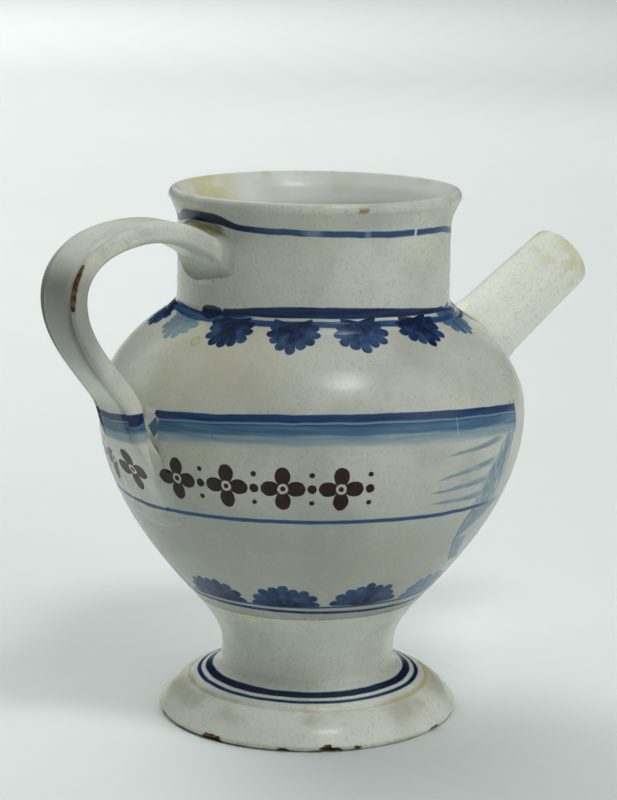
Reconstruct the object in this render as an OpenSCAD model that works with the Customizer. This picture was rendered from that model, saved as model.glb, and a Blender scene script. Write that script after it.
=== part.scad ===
// Wet drug jar: a spouted and handled pottery jar on a pedestal foot.
// It is luted together from separately thrown and pulled pieces of clay, then tin glazed.
// Millimetres, +Z up. The origin is the centre of the ring that the foot rests on,
// the spout points along +X and the handle stands at -X.

/* [Pedestal foot] */
// Greatest radius of the foot's rounded edge
foot_r = 57; // [54:0.5:64]
// Radius of the round under the foot's edge
foot_edge_round = 2.4; // [1.5:0.1:3.2]
// Inner radius of the ring that the foot rests on
rest_ring_r = 48; // [44:0.5:51]
// Radius of the raised step round the top of the foot
step_r = 45.2; // [43.5:0.1:48]
// Height at which the foot's slope reaches the step
step_z = 11.8; // [10:0.1:13]
// How far the middle of the foot's slope swells above a straight cone
foot_crown = 2; // [0.2:0.1:2.8]
// Height of the step's riser
step_rise = 1.3; // [0.8:0.1:1.8]
// Width of the flat tread above the step
tread_w = 3.6; // [2.5:0.1:4.5]
// Radius of the stem at its narrowest
stem_r = 32.8; // [30:0.2:36]
// Height at which the stem becomes narrowest
stem_low_z = 23; // [21:0.5:25]
// Height at which the stem starts to widen into the bowl
stem_high_z = 26; // [25:0.5:30]
// Thickness of the hollow stem's wall
stem_wall = 7; // [5:0.2:9]

/* [Bowl] */
// Height of the seam where the bowl is luted on the stem
foot_seam_z = 46; // [43:0.5:49]
// Radius of the bowl at the painted line round its lower end
bowl_low_r = 46.8; // [44:0.2:50]
// Height of that painted line
bowl_low_z = 50; // [49:0.5:54]
// How fast the bowl widens at that line, radius per height
bowl_low_slope = 0.9; // [0.7:0.02:1.1]
// Greatest radius of the belly
belly_r = 79.7; // [76:0.2:86]
// Height of the belly's greatest radius
belly_z = 117; // [112:0.5:122]
// Fullness of the shoulder, where 0.5 is an ellipse and 1 a parabola
shoulder_fullness = 0.85; // [0.7:0.01:1]
// Height at which the shoulder would meet the neck
shoulder_top_z = 156; // [153:0.5:158]
// Thickness of the bowl's wall
bowl_wall = 5.5; // [4:0.1:7]
// Thickness of the bowl's floor
floor_t = 7; // [5:0.2:9]

/* [Neck and lip] */
// Outer radius of the neck
neck_r = 50.7; // [49:0.1:53]
// Thickness of the neck's wall
neck_wall = 5; // [4:0.1:6]
// Depth of the neck's seam below the height where the shoulder would meet it
neck_seam_drop = 1.5; // [1:0.1:2.5]
// Width of the clay ring pressed round the foot of the neck
ring_w = 2.4; // [1.6:0.1:3]
// Overall height of the jar
jar_h = 200; // [194:0.5:212]
// Greatest radius of the lip
lip_r = 54.4; // [53.6:0.1:57]
// Height of the flare from the neck to the lip's fullest part
lip_flare_h = 11; // [8:0.5:14]
// Height of the rounded lip above its fullest part
lip_round_h = 3.2; // [2:0.1:4]
// How fast the lip widens at its fullest part, radius per height
lip_flare_slope = 0.6; // [0.3:0.05:0.8]
// Thickness of the lip
lip_t = 4; // [3:0.1:5]

/* [Spout] */
// Distance of the spout's end from the jar's axis
spout_reach = 127.5; // [118:0.5:138]
// Height of the centre of the spout's end
spout_tip_z = 164; // [158:0.5:170]
// Rise of the spout above the level
spout_rise = 32.4; // [28:0.2:37]
// Outer radius of the spout at its end
spout_tip_r = 13.2; // [12:0.1:15]
// Outer radius of the spout where its flare begins
spout_root_r = 14.4; // [13.6:0.1:16]
// Radius of the spout's bore
spout_bore_r = 8.5; // [6:0.1:10]
// Distance of the start of the flare from the spout's end
spout_flare_s = 42; // [36:0.5:46]
// How much wider the flare gets over its length
spout_flare_w = 5.6; // [3:0.2:8]
// Length of the flare
spout_flare_l = 22; // [16:0.5:28]
// How far the spout's root runs on below the bowl's surface, along the spout's axis
spout_bury = 3.3; // [2.5:0.1:5]
// Radius of the round at the spout's end
spout_end_round = 1.6; // [0.8:0.1:2.2]
// Width of the clay coil pressed round the root of the spout
spout_lute_w = 4; // [2.5:0.1:6]
// Length of that coil along the spout's axis
spout_lute_l = 11; // [8:0.5:14]

/* [Handle] */
// Width of the strap
strap_w = 22.6; // [19:0.2:26]
// Thickness of the strap at its rolled edges
strap_t = 8.3; // [7:0.1:9.5]
// Depth of the hollow between the rolled edges
strap_hollow = 0.4; // [0:0.1:1.2]
// Width of each rolled edge, from the strap's side to the middle of the groove beside it
strap_bead = 2.6; // [2:0.1:4]
// Depth of the groove beside each rolled edge, on the strap's outer face
outer_groove = 1.1; // [0:0.1:1.5]
// Depth of the groove beside each rolled edge, on the strap's inner face
inner_groove = 0.7; // [0:0.1:1.2]
// Half width of each groove
groove_w = 0.9; // [0.7:0.1:1.4]
// Height of the middle of the root on the neck
root_z = 178; // [174:0.5:180]
// Depth of the root at the neck
root_t = 9.5; // [8.5:0.1:12]
// Distance of the top of the arch from the jar's axis
arch_x = 77; // [73:0.5:82]
// Height of the top of the arch
arch_z = 193.6; // [190:0.2:198]
// Distance of the handle's outermost point from the jar's axis
handle_reach = 113.2; // [108:0.2:120]
// Height of the handle's outermost point
handle_reach_z = 167.5; // [164:0.5:171]
// Height at which the strap's middle leans in to the belly
land_z = 128.5; // [125:0.5:132]
// Distance of the strap's middle from the belly at that height
land_gap = 9.4; // [8:0.1:12]
// Height at which the tail fades out on the belly
tail_z = 90; // [86:0.5:96]
// Thickness of the tail's end
tail_t = 1.6; // [1.2:0.1:2.4]
// How far the strap's ends bite below the surface before they are trimmed
bite = 3; // [2:0.1:4]
// Width of the clay pressed round each end of the handle
handle_lute_w = 4.5; // [2.5:0.1:6]
// Least thickness of a pressed fillet at its far edge
lute_edge = 0.4; // [0.3:0.1:0.8]

/* [Hidden] */
$fn = 96;
glaze = "#d9dcd6";
painted_glaze = "#c3cad1";
clay = "#c9bb98";

// Steps along each curved stretch of an outline
curve_steps = 14;
// Steps round a small arc
arc_steps = 5;
neck_seam_z = shoulder_top_z - neck_seam_drop;
neck_bore_r = neck_r - neck_wall;
lip_full_z = jar_h - lip_round_h;
lip_start_z = lip_full_z - lip_flare_h;
floor_z = foot_seam_z + floor_t;
tread_r = step_r - step_rise / 2;
tread_in_r = tread_r - tread_w;
tread_z = step_z + step_rise;
tread_slope = 0.35;
tread_top_z = tread_z + tread_w * tread_slope;
// Power of the foot's slope that gives its crown
foot_swell = -ln(0.5 - foot_crown / (step_z - foot_edge_round)) / ln(2);
through = 1;

// A smooth curve from a to b with slopes sa and sb over a run, at t from 0 to 1
function ease(t, a, b, sa, sb, run) =
    a * (1 + 2 * t) * (1 - t) * (1 - t) + sa * run * t * (1 - t) * (1 - t)
    + b * t * t * (3 - 2 * t) + sb * run * t * t * (t - 1);
function part_of(z, low, high) = (z - low) / (high - low);
function steps(count) = [for (i = [0 : count]) i / count];

// A cubic curve through four plane points
function bezier(p, t) =
    pow(1 - t, 3) * p[0] + 3 * t * pow(1 - t, 2) * p[1]
    + 3 * t * t * (1 - t) * p[2] + pow(t, 3) * p[3];

// Outer radius of the stem and bowl at a height
function stem_radius(z) = z < stem_high_z ? stem_r
    : ease(part_of(z, stem_high_z, bowl_low_z), stem_r, bowl_low_r, 0, bowl_low_slope,
        bowl_low_z - stem_high_z);
function shoulder_radius(z, top_r, wide_r, top_z) =
    top_r + (wide_r - top_r)
    * pow(max(0, 1 - pow(part_of(z, belly_z, top_z), 2)), shoulder_fullness);
function bowl_radius(z) = z < bowl_low_z ? stem_radius(z)
    : z < belly_z ? ease(part_of(z, bowl_low_z, belly_z), bowl_low_r, belly_r,
        bowl_low_slope, 0, belly_z - bowl_low_z)
    : shoulder_radius(z, neck_r, belly_r, shoulder_top_z);
// Inner radius of the bowl at a height
function bowl_inside(z) = z < belly_z ? bowl_radius(z) - bowl_wall
    : shoulder_radius(z, neck_bore_r, belly_r - bowl_wall, shoulder_top_z - bowl_wall);

function arc(cx, cz, r, from, to) =
    [for (t = steps(arc_steps)) [cx + r * cos(from + (to - from) * t),
        cz + r * sin(from + (to - from) * t)]];

// Half outline of the bowl's outside, from the seam on the stem to the seam under the neck
bowl_heights = concat(
    [for (t = steps(curve_steps)) foot_seam_z + (belly_z - foot_seam_z) * t],
    [for (i = [1 : curve_steps])
        belly_z + (neck_seam_z - belly_z) * sin(90 * i / curve_steps)]);
bowl_outline = [for (z = bowl_heights) [bowl_radius(z), z]];

// The solid that the bowl fills
module bowl_body() {
    rotate_extrude()
        polygon(concat([[0, foot_seam_z]], bowl_outline, [[0, neck_seam_z]]));
}

module bowl_hollow() {
    inside_low = [for (t = steps(curve_steps)) floor_z + (belly_z - floor_z) * t];
    hollow_top_z = shoulder_top_z - bowl_wall;
    inside_high = [for (i = [1 : curve_steps])
        belly_z + (hollow_top_z - belly_z) * sin(90 * i / curve_steps)];
    outline = [for (z = concat(inside_low, inside_high)) [bowl_inside(z), z]];
    rotate_extrude()
        polygon(concat([[0, floor_z]], outline,
            [[neck_bore_r, neck_seam_z + through], [0, neck_seam_z + through]]));
}

// Places a piece that is turned about +Z on the spout's axis, with its end at the spout's end
module at_spout() {
    translate([spout_reach, 0, spout_tip_z])
        rotate([0, -90 - spout_rise, 0])
            children();
}

module spout_bore(length) {
    at_spout() translate([0, 0, -through]) cylinder(r = spout_bore_r, h = length + through);
}
spout_run = (spout_reach - neck_bore_r) / cos(spout_rise);

module pedestal_foot() {
    slope = [for (t = steps(curve_steps)) [
        foot_r + (step_r - foot_r) * t,
        foot_edge_round + (step_z - foot_edge_round) * (1 - pow(1 - t, foot_swell))]];
    flare = [for (t = steps(curve_steps)) [
        ease(t, tread_in_r, stem_r, -1 / tread_slope, 0, stem_low_z - tread_top_z),
        tread_top_z + (stem_low_z - tread_top_z) * t]];
    rise = [for (t = steps(curve_steps)) stem_high_z + (foot_seam_z - stem_high_z) * t];
    stem = [for (z = rise) [bowl_radius(z), z]];
    hollow_stem = [for (i = [0 : curve_steps]) let (z = rise[curve_steps - i])
        [bowl_radius(z) - stem_wall, z]];
    hollow_foot = [for (t = steps(curve_steps)) [
        ease(t, stem_r - stem_wall, rest_ring_r, 0, 0, 1), stem_low_z * (1 - t) * (1 - t)]];
    color(glaze) rotate_extrude()
        polygon(concat(
            arc(foot_r - foot_edge_round, foot_edge_round, foot_edge_round, -90, 0),
            [for (i = [1 : curve_steps]) slope[i]],
            [[tread_r, tread_z]], flare, stem, hollow_stem, hollow_foot));
}

module bowl() {
    color(painted_glaze) difference() {
        bowl_body();
        bowl_hollow();
        spout_bore(spout_run);
    }
}

// Half outline of the neck's outside, from its seam to the fullest part of the lip
neck_outline = concat([[neck_r, neck_seam_z]], [for (t = steps(curve_steps)) [
    ease(t, neck_r, lip_r, 0, lip_flare_slope, lip_flare_h), lip_start_z + lip_flare_h * t]]);

// The round over the lip, from its outer side to its top and on to its inner side
lip_over = [for (i = [1 : arc_steps * 2]) [
    lip_r - lip_t / 2 + lip_t / 2 * cos(180 * i / (arc_steps * 2)),
    lip_full_z + lip_round_h * sin(180 * i / (arc_steps * 2))]];

// The solid that the neck fills
module neck_body() {
    outer_half = [for (i = [0 : arc_steps - 1]) lip_over[i]];
    rotate_extrude()
        polygon(concat([[0, neck_seam_z]], neck_outline, outer_half, [[0, jar_h]]));
}

module neck_collar() {
    inside = [for (i = [1 : curve_steps]) let (t = i / curve_steps) [
        ease(t, lip_r - lip_t, neck_bore_r, -lip_flare_slope, 0, lip_flare_h),
        lip_full_z - lip_flare_h * t]];
    color(glaze) rotate_extrude()
        polygon(concat([[neck_bore_r, neck_seam_z]], neck_outline, lip_over, inside));
}

// A small coil in the corner between the neck and the shoulder
module seam_coil() {
    rotate_extrude()
        polygon(concat([[neck_r, neck_seam_z]],
            [for (t = steps(arc_steps * 2)) [
                neck_r + ring_w * cos(90 * t), neck_seam_z + ring_w * sin(90 * t)]]));
}

module neck_seam_ring() {
    color(clay) seam_coil();
}

// The filled jar, used to trim what is luted on it
module jar_body() {
    bowl_body();
    neck_body();
    seam_coil();
}

// Outer radius of the spout at a distance from its end
function spout_radius(s) = s < spout_flare_s
    ? spout_tip_r + (spout_root_r - spout_tip_r) * s / spout_flare_s
    : spout_root_r + spout_flare_w * pow((s - spout_flare_s) / spout_flare_l, 2);

// Where the spout's axis meets the bowl, as a distance from the spout's end, found by halving
function above_bowl(s) =
    spout_reach - s * cos(spout_rise) - bowl_radius(spout_tip_z - s * sin(spout_rise));
function meeting(near, far, halvings) = let (middle = (near + far) / 2)
    halvings == 0 ? middle
    : above_bowl(middle) > 0 ? meeting(middle, far, halvings - 1)
    : meeting(near, middle, halvings - 1);
spout_end_s = meeting(0, spout_run, 30) + spout_bury;

module spout() {
    flare = [for (t = steps(curve_steps))
        let (s = spout_flare_s + (spout_end_s - spout_flare_s) * t) [spout_radius(s), s]];
    color(glaze) difference() {
        at_spout() rotate_extrude()
            polygon(concat([[0, 0]],
                arc(spout_tip_r - spout_end_round, spout_end_round, spout_end_round, -90, 0),
                flare, [[0, spout_end_s]]));
        jar_body();
        spout_bore(spout_run);
    }
}

// A coil of clay pressed into the corner round the flare of the spout
module spout_lute() {
    start_s = spout_end_s - spout_lute_l;
    along = [for (t = steps(arc_steps * 2)) start_s + spout_lute_l * t];
    color(clay) difference() {
        at_spout() rotate_extrude()
            polygon(concat(
                [for (s = along) [
                    spout_radius(s) + lute_edge
                    + spout_lute_w * pow((s - start_s) / spout_lute_l, 3), s]],
                [for (i = [0 : arc_steps * 2]) let (s = along[arc_steps * 2 - i])
                    [spout_radius(s), s]]));
        jar_body();
    }
}

// The strap's middle line in the plane of the spout: neck, arch, outermost point, belly, tail
arch_mid_z = arch_z - strap_t / 2;
out_x = handle_reach - strap_t / 2;
land_x = bowl_radius(land_z) + land_gap;
root = [-(neck_r - bite), root_z];
arch = [-arch_x, arch_mid_z];
outmost = [-out_x, handle_reach_z];
land = [-land_x, land_z];
arch_in = arch_x - neck_r;
arch_out = out_x - arch_x;
fall = arch_mid_z - handle_reach_z;
drop = handle_reach_z - land_z;
lean = out_x - land_x;
climb = arch_mid_z - root_z;
// How strongly each end of a curve holds its heading, as shares of the curve's run and height
root_pull = [-0.33, 0.6];
arch_pull = [0.42, 0.55];
outmost_pull = [0.62, 0.37];
land_in_pull = [-0.43, 0.35];
curves = [
    [root, root + [arch_in * root_pull[0], climb * root_pull[1]], arch + [arch_in * arch_pull[0], 0], arch],
    [arch, arch - [arch_out * arch_pull[1], 0], outmost + [0, fall * outmost_pull[0]], outmost],
    [outmost, outmost - [0, drop * outmost_pull[1]],
        land + [lean * land_in_pull[0], drop * land_in_pull[1]], land]
];
// The tail lies along the belly and closes on it, at first this many times land_gap per length
tail_closing = 2;
function tail_point(t) = let (z = land_z + (tail_z - land_z) * t)
    [-bowl_radius(z) - ease(t, land_gap, -tail_t / 2, -tail_closing * land_gap, 0, 1), z];
// Stations along each of the three curves and along the tail
curve_stations = 11;
path = concat([root],
    [for (c = curves) for (i = [1 : curve_stations]) bezier(c, i / curve_stations)],
    [for (i = [1 : curve_stations]) tail_point(i / curve_stations)]);
last = len(path) - 1;
arch_i = curve_stations;
land_i = 3 * curve_stations;
function unit(v) = v / norm(v);
function heading(i) = unit(path[min(i + 1, last)] - path[max(i - 1, 0)]);
// The direction from the strap's middle to its outer face
function outward(i) = [heading(i)[1], -heading(i)[0]];

// Thickness and width of the strap at a station
function thickness(i) = i < arch_i ? ease(i / arch_i, root_t, strap_t, 0, 0, 1)
    : i < land_i ? strap_t
    : ease((i - land_i) / (last - land_i), strap_t, tail_t, 0, 0, 1);
// The strap spreads a little towards its root
root_spread = 0.12;
function swell(i) = i < arch_i ? 1 + root_spread * pow(1 - i / arch_i, 2) : 1;

// The grooves start past the root and fade out past the landing
groove_start = 3;
groove_end = land_i - 4;
groove_stop = land_i + 3;
function groove_share(i) = min(1, i / groove_start)
    * ease(min(1, max(0, part_of(i, groove_end, groove_stop))), 1, 0, 0, 0, 1);

// The strap's section has rolled edges with a slight hollow between them on its outer side.
// Clay pressed round it adds its width at the sides and the inner face, not at the outer face.
section_steps = 48;
// 1 would make the section an ellipse, and less makes it squarer
section_softness = 0.5;
function softened(v) = sign(v) * pow(abs(v), section_softness);
function section(i, extra) = [for (k = [0 : section_steps - 1]) let (
    a = 360 * k / section_steps,
    t = thickness(i),
    half_w = strap_w / 2 * swell(i),
    y = half_w * softened(cos(a)),
    between = 1 - pow(y / half_w, 2),
    groove = exp(-pow((abs(y) - half_w + strap_bead) / groove_w, 2)),
    cut = sin(a) > 0 ? strap_hollow * between + outer_groove * groove : -inner_groove * groove,
    n = t / 2 * softened(sin(a)) - cut * groove_share(i),
    extra_n = sin(a) > 0 ? min(extra, lute_edge) : extra)
    [y + extra * cos(a), n + extra_n * sin(a)]];
function ring_points(i, extra) = [for (q = section(i, extra))
    let (p = path[i] + outward(i) * q[1]) [p[0], -q[0], p[1]]];

function ring_faces(ring_a, ring_b, flip) = [for (k = [0 : section_steps - 1])
    let (
        a = ring_a * section_steps + k,
        b = ring_a * section_steps + (k + 1) % section_steps,
        c = ring_b * section_steps + (k + 1) % section_steps,
        d = ring_b * section_steps + k)
    for (face = flip ? [[a, b, c], [a, c, d]] : [[a, c, b], [a, d, c]]) face];

// The strap from its root inside the neck's surface to its tail below the belly's
module strap() {
    sides = [for (i = [0 : last - 1]) for (face = ring_faces(i, i + 1, false)) face];
    start_cap = [for (k = [0 : section_steps - 1]) k];
    end_cap = [for (k = [0 : section_steps - 1]) (last + 1) * section_steps - 1 - k];
    polyhedron([for (i = [0 : last]) for (p = ring_points(i, 0)) p],
        concat([start_cap], sides, [end_cap]));
}

// Clay pressed round the strap between two stations, widest at the station named wide,
// either flaring to an edge there or swelling softly
module pressed_clay(first, final, wide, flares) {
    run = final - first;
    function share(i) = 1 - abs(i - wide) / max(wide - first, final - wide);
    function spread(i) = lute_edge + handle_lute_w
        * (flares ? pow(share(i), 2) : ease(share(i), 0, 1, 0, 0, 1));
    outer = [for (i = [first : final]) for (p = ring_points(i, spread(i))) p];
    inner = [for (i = [first : final]) for (p = ring_points(i, 0)) p];
    outer_faces = [for (i = [0 : run - 1]) for (face = ring_faces(i, i + 1, false)) face];
    inner_faces = [for (i = [0 : run - 1])
        for (face = ring_faces(run + 1 + i, run + 2 + i, true)) face];
    start_faces = ring_faces(run + 1, 0, false);
    end_faces = ring_faces(run, 2 * run + 1, false);
    polyhedron(concat(outer, inner), concat(outer_faces, inner_faces, start_faces, end_faces));
}

module handle() {
    color(glaze) difference() {
        strap();
        jar_body();
    }
}

// Stations that the pressed clay covers at the neck and at the belly
root_lute_end = 6;
land_lute_start = land_i - 1;
land_lute_wide = land_i + 3;
land_lute_end = land_i + 7;

module handle_upper_lute() {
    color(clay) difference() {
        pressed_clay(0, root_lute_end, 0, true);
        jar_body();
    }
}

module handle_lower_lute() {
    color(clay) difference() {
        pressed_clay(land_lute_start, land_lute_end, land_lute_wide, false);
        jar_body();
    }
}

pedestal_foot();
bowl();
neck_collar();
neck_seam_ring();
spout();
spout_lute();
handle();
handle_upper_lute();
handle_lower_lute();
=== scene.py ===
"""Looks of a spouted drug jar: pieces of clay luted together under a painted tin glaze."""
import math

import bmesh
import bpy
from mathutils import Matrix, Vector, noise


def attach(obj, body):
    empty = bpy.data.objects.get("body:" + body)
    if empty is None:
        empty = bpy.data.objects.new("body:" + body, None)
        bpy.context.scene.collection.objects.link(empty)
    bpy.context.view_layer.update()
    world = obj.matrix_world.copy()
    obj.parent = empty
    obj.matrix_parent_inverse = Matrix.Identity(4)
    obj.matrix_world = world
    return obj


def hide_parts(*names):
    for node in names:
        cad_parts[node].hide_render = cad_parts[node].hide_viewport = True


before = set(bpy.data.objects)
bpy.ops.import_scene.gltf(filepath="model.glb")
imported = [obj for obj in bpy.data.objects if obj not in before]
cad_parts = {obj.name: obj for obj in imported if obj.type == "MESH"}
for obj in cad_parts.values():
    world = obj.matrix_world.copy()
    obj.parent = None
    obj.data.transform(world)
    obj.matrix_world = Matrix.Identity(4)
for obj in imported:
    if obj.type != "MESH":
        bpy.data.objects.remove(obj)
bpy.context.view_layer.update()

# Sizes in millimetres, the same as the clay pieces of the frame
MM = 0.001
FOOT_R, FOOT_EDGE, REST_RING_R = 57.0, 2.4, 48.0
STEP_R, STEP_Z, STEP_RISE, FOOT_CROWN = 45.2, 11.8, 1.3, 2.0
TREAD_W, TREAD_SLOPE = 3.6, 0.35
STEM_R, STEM_LOW_Z, STEM_HIGH_Z, STEM_WALL = 32.8, 23.0, 26.0, 7.0
FOOT_SEAM_Z, FLOOR_T, BOWL_WALL = 46.0, 7.0, 5.5
BOWL_LOW_R, BOWL_LOW_Z, BOWL_LOW_SLOPE = 46.8, 50.0, 0.9
BELLY_R, BELLY_Z, SHOULDER_TOP_Z, SHOULDER_FULLNESS = 79.7, 117.0, 156.0, 0.85
NECK_R, NECK_WALL, NECK_SEAM_Z = 50.7, 5.0, 154.5
JAR_H, LIP_R, LIP_T = 200.0, 54.4, 4.0
LIP_ROUND_H, LIP_FLARE_H, LIP_SLOPE = 3.2, 11.0, 0.6
SPOUT_REACH, SPOUT_TIP_Z, SPOUT_RISE = 127.5, 164.0, math.radians(32.4)
SPOUT_TIP_R, SPOUT_ROOT_R, SPOUT_BORE_R, SPOUT_END_ROUND = 13.2, 14.4, 8.5, 1.6
SPOUT_FLARE_S, SPOUT_FLARE_W, SPOUT_FLARE_L, SPOUT_END_S = 42.0, 5.6, 22.0, 64.0
STRAP_W, STRAP_T = 22.6, 8.3
ROOT_Z, ROOT_T, ROOT_SPREAD, ROOT_BITE = 178.0, 9.5, 0.12, 3.0
ARCH_X, ARCH_Z, HANDLE_REACH, HANDLE_REACH_Z = 77.0, 193.6, 113.2, 167.5
LAND_Z, LAND_GAP, TAIL_Z, TAIL_T, TAIL_CLOSING = 128.5, 9.4, 90.0, 1.6, 2.0

# Derived sizes
NECK_BORE_R = NECK_R - NECK_WALL
LIP_FULL_Z = JAR_H - LIP_ROUND_H
LIP_START_Z = LIP_FULL_Z - LIP_FLARE_H
FOOT_SWELL = -math.log(0.5 - FOOT_CROWN / (STEP_Z - FOOT_EDGE), 2)
SPOUT_AXIS = Vector((math.cos(SPOUT_RISE), 0, math.sin(SPOUT_RISE)))
SPOUT_TIP = Vector((SPOUT_REACH, 0, SPOUT_TIP_Z))

# Fineness of the meshes
ROUND_STEPS = 256
SPOUT_STEPS = 128
STRAP_SIDES = 96
PRESSED_SIDES = 128


# Curves and outlines

def ease(t, a, b, slope_a, slope_b, run):
    """A smooth curve from a to b with a slope at each end, at t from 0 to 1."""
    return (a * (1 + 2 * t) * (1 - t) ** 2 + slope_a * run * t * (1 - t) ** 2
            + b * t * t * (3 - 2 * t) + slope_b * run * t * t * (t - 1))


def smooth(t):
    """0 up to t = 0 and 1 from t = 1 on, with a soft start and end."""
    return ease(min(1.0, max(0.0, t)), 0, 1, 0, 0, 1)


def steps(count):
    """Even steps from 0 to 1."""
    return [i / count for i in range(count + 1)]


def shoulder_radius(z, top_r, wide_r, top_z):
    closing = max(0.0, 1 - ((z - BELLY_Z) / (top_z - BELLY_Z)) ** 2)
    return top_r + (wide_r - top_r) * closing ** SHOULDER_FULLNESS


def bowl_radius(z):
    if z < STEM_HIGH_Z:
        return STEM_R
    if z < BOWL_LOW_Z:
        run = BOWL_LOW_Z - STEM_HIGH_Z
        return ease((z - STEM_HIGH_Z) / run, STEM_R, BOWL_LOW_R, 0, BOWL_LOW_SLOPE, run)
    if z < BELLY_Z:
        run = BELLY_Z - BOWL_LOW_Z
        return ease((z - BOWL_LOW_Z) / run, BOWL_LOW_R, BELLY_R, BOWL_LOW_SLOPE, 0, run)
    return shoulder_radius(z, NECK_R, BELLY_R, SHOULDER_TOP_Z)


def bowl_inside(z):
    if z < BELLY_Z:
        return bowl_radius(z) - BOWL_WALL
    return shoulder_radius(z, NECK_BORE_R, BELLY_R - BOWL_WALL, SHOULDER_TOP_Z - BOWL_WALL)


def neck_radius(z):
    t = min(1.0, max(0.0, (z - LIP_START_Z) / LIP_FLARE_H))
    return ease(t, NECK_R, LIP_R, 0, LIP_SLOPE, LIP_FLARE_H)


def softened(outline):
    """A closed outline with each corner cut once, so that glaze seems to round it."""
    cut = []
    for (r, z), (next_r, next_z) in zip(outline, outline[1:] + outline[:1]):
        cut.append((0.75 * r + 0.25 * next_r, 0.75 * z + 0.25 * next_z))
        cut.append((0.25 * r + 0.75 * next_r, 0.25 * z + 0.75 * next_z))
    return cut


def foot_outline():
    tread_r = STEP_R - STEP_RISE / 2
    tread_in_r = tread_r - TREAD_W
    tread_z = STEP_Z + STEP_RISE
    tread_top_z = tread_z + TREAD_W * TREAD_SLOPE
    edge = [(FOOT_R - FOOT_EDGE * (1 - math.sin(a)), FOOT_EDGE * (1 - math.cos(a)))
            for a in (math.pi / 2 * t for t in steps(8))]
    slope = [(FOOT_R + (STEP_R - FOOT_R) * t,
              FOOT_EDGE + (STEP_Z - FOOT_EDGE) * (1 - (1 - t) ** FOOT_SWELL)) for t in steps(24)[1:]]
    riser = [(tread_r, tread_z)]
    flare = [(ease(t, tread_in_r, STEM_R, -1 / TREAD_SLOPE, 0, STEM_LOW_Z - tread_top_z),
              tread_top_z + (STEM_LOW_Z - tread_top_z) * t) for t in steps(14)]
    rise = [STEM_HIGH_Z + (FOOT_SEAM_Z - STEM_HIGH_Z) * t for t in steps(12)]
    stem = [(bowl_radius(z), z) for z in rise] + [(bowl_radius(FOOT_SEAM_Z) - 0.3, FOOT_SEAM_Z + 0.5)]
    hollow_stem = [(bowl_radius(z) - STEM_WALL, z) for z in reversed(rise)]
    hollow_foot = [(ease(t, STEM_R - STEM_WALL, REST_RING_R, 0, 0, 1), STEM_LOW_Z * (1 - t) ** 2)
                   for t in steps(12)]
    return softened(edge + slope + riser + flare + stem + hollow_stem + hollow_foot)


def bowl_outline():
    floor_z = FOOT_SEAM_Z + FLOOR_T
    low = [FOOT_SEAM_Z + (BELLY_Z - FOOT_SEAM_Z) * t for t in steps(34)]
    high = [BELLY_Z + (NECK_SEAM_Z - BELLY_Z) * math.sin(math.pi / 2 * t) for t in steps(30)[1:]]
    inside_top_z = SHOULDER_TOP_Z - BOWL_WALL
    inside_high = [BELLY_Z + (inside_top_z - BELLY_Z) * math.sin(math.pi / 2 * t)
                   for t in reversed(steps(16))]
    inside_low = [floor_z + (BELLY_Z - floor_z) * t for t in reversed(steps(18)[:-1])]
    outside = [(bowl_radius(z), z) for z in low + high]
    inside = [(bowl_inside(z), z) for z in inside_high + inside_low]
    return [(0, FOOT_SEAM_Z)] + outside + [(NECK_BORE_R, NECK_SEAM_Z)] + inside + [(0, floor_z)]


def neck_outline():
    straight = [(NECK_R, NECK_SEAM_Z + (LIP_START_Z - NECK_SEAM_Z) * t) for t in steps(16)[:-1]]
    flare = [(neck_radius(z), z) for z in (LIP_START_Z + LIP_FLARE_H * t for t in steps(14))]
    over = [(LIP_R - LIP_T / 2 * (1 - math.cos(a)), LIP_FULL_Z + LIP_ROUND_H * math.sin(a))
            for a in (math.pi / 2 * t for t in steps(8)[1:])]
    depth = JAR_H - LIP_START_Z
    inside = [(ease(t, LIP_R - LIP_T / 2, NECK_BORE_R, -0.9, 0, depth), JAR_H - depth * t)
              for t in steps(16)[1:]]
    bore = [(NECK_BORE_R, LIP_START_Z + (NECK_SEAM_Z - LIP_START_Z) * t) for t in steps(12)[1:]]
    return softened(straight + flare + over + inside + bore)


# The soft ridge of clay and glaze round the foot of the neck
RIDGE_W, RIDGE_Z, RIDGE_TOP_Z, RIDGE_LOW_Z = 0.7, 157.6, 161.0, 154.0
RIDGE_SINK = 0.15


def ridge_outline():
    upper = [(NECK_R - RIDGE_SINK + RIDGE_W * (1 - t) ** 2.2, RIDGE_Z + (RIDGE_TOP_Z - RIDGE_Z) * t)
             for t in steps(10)]
    low_r = bowl_radius(RIDGE_LOW_Z) - 0.1
    top_r = NECK_R - RIDGE_SINK + RIDGE_W
    lower = [(low_r + (top_r - low_r) * t + 0.15 * math.sin(math.pi * t),
              RIDGE_LOW_Z + (RIDGE_Z - RIDGE_LOW_Z) * t) for t in steps(8)[:-1]]
    under = [(NECK_R - 2, RIDGE_LOW_Z - 1.5), (bowl_radius(RIDGE_LOW_Z - 1.2) - 0.5, RIDGE_LOW_Z - 1.2)]
    return softened(under + lower + upper + [(NECK_R - 0.4, RIDGE_TOP_Z + 1), (NECK_R - 2, RIDGE_TOP_Z)])


def spout_radius(s):
    if s < SPOUT_FLARE_S:
        return SPOUT_TIP_R + (SPOUT_ROOT_R - SPOUT_TIP_R) * s / SPOUT_FLARE_S
    return SPOUT_ROOT_R + SPOUT_FLARE_W * ((s - SPOUT_FLARE_S) / SPOUT_FLARE_L) ** 2


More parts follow.
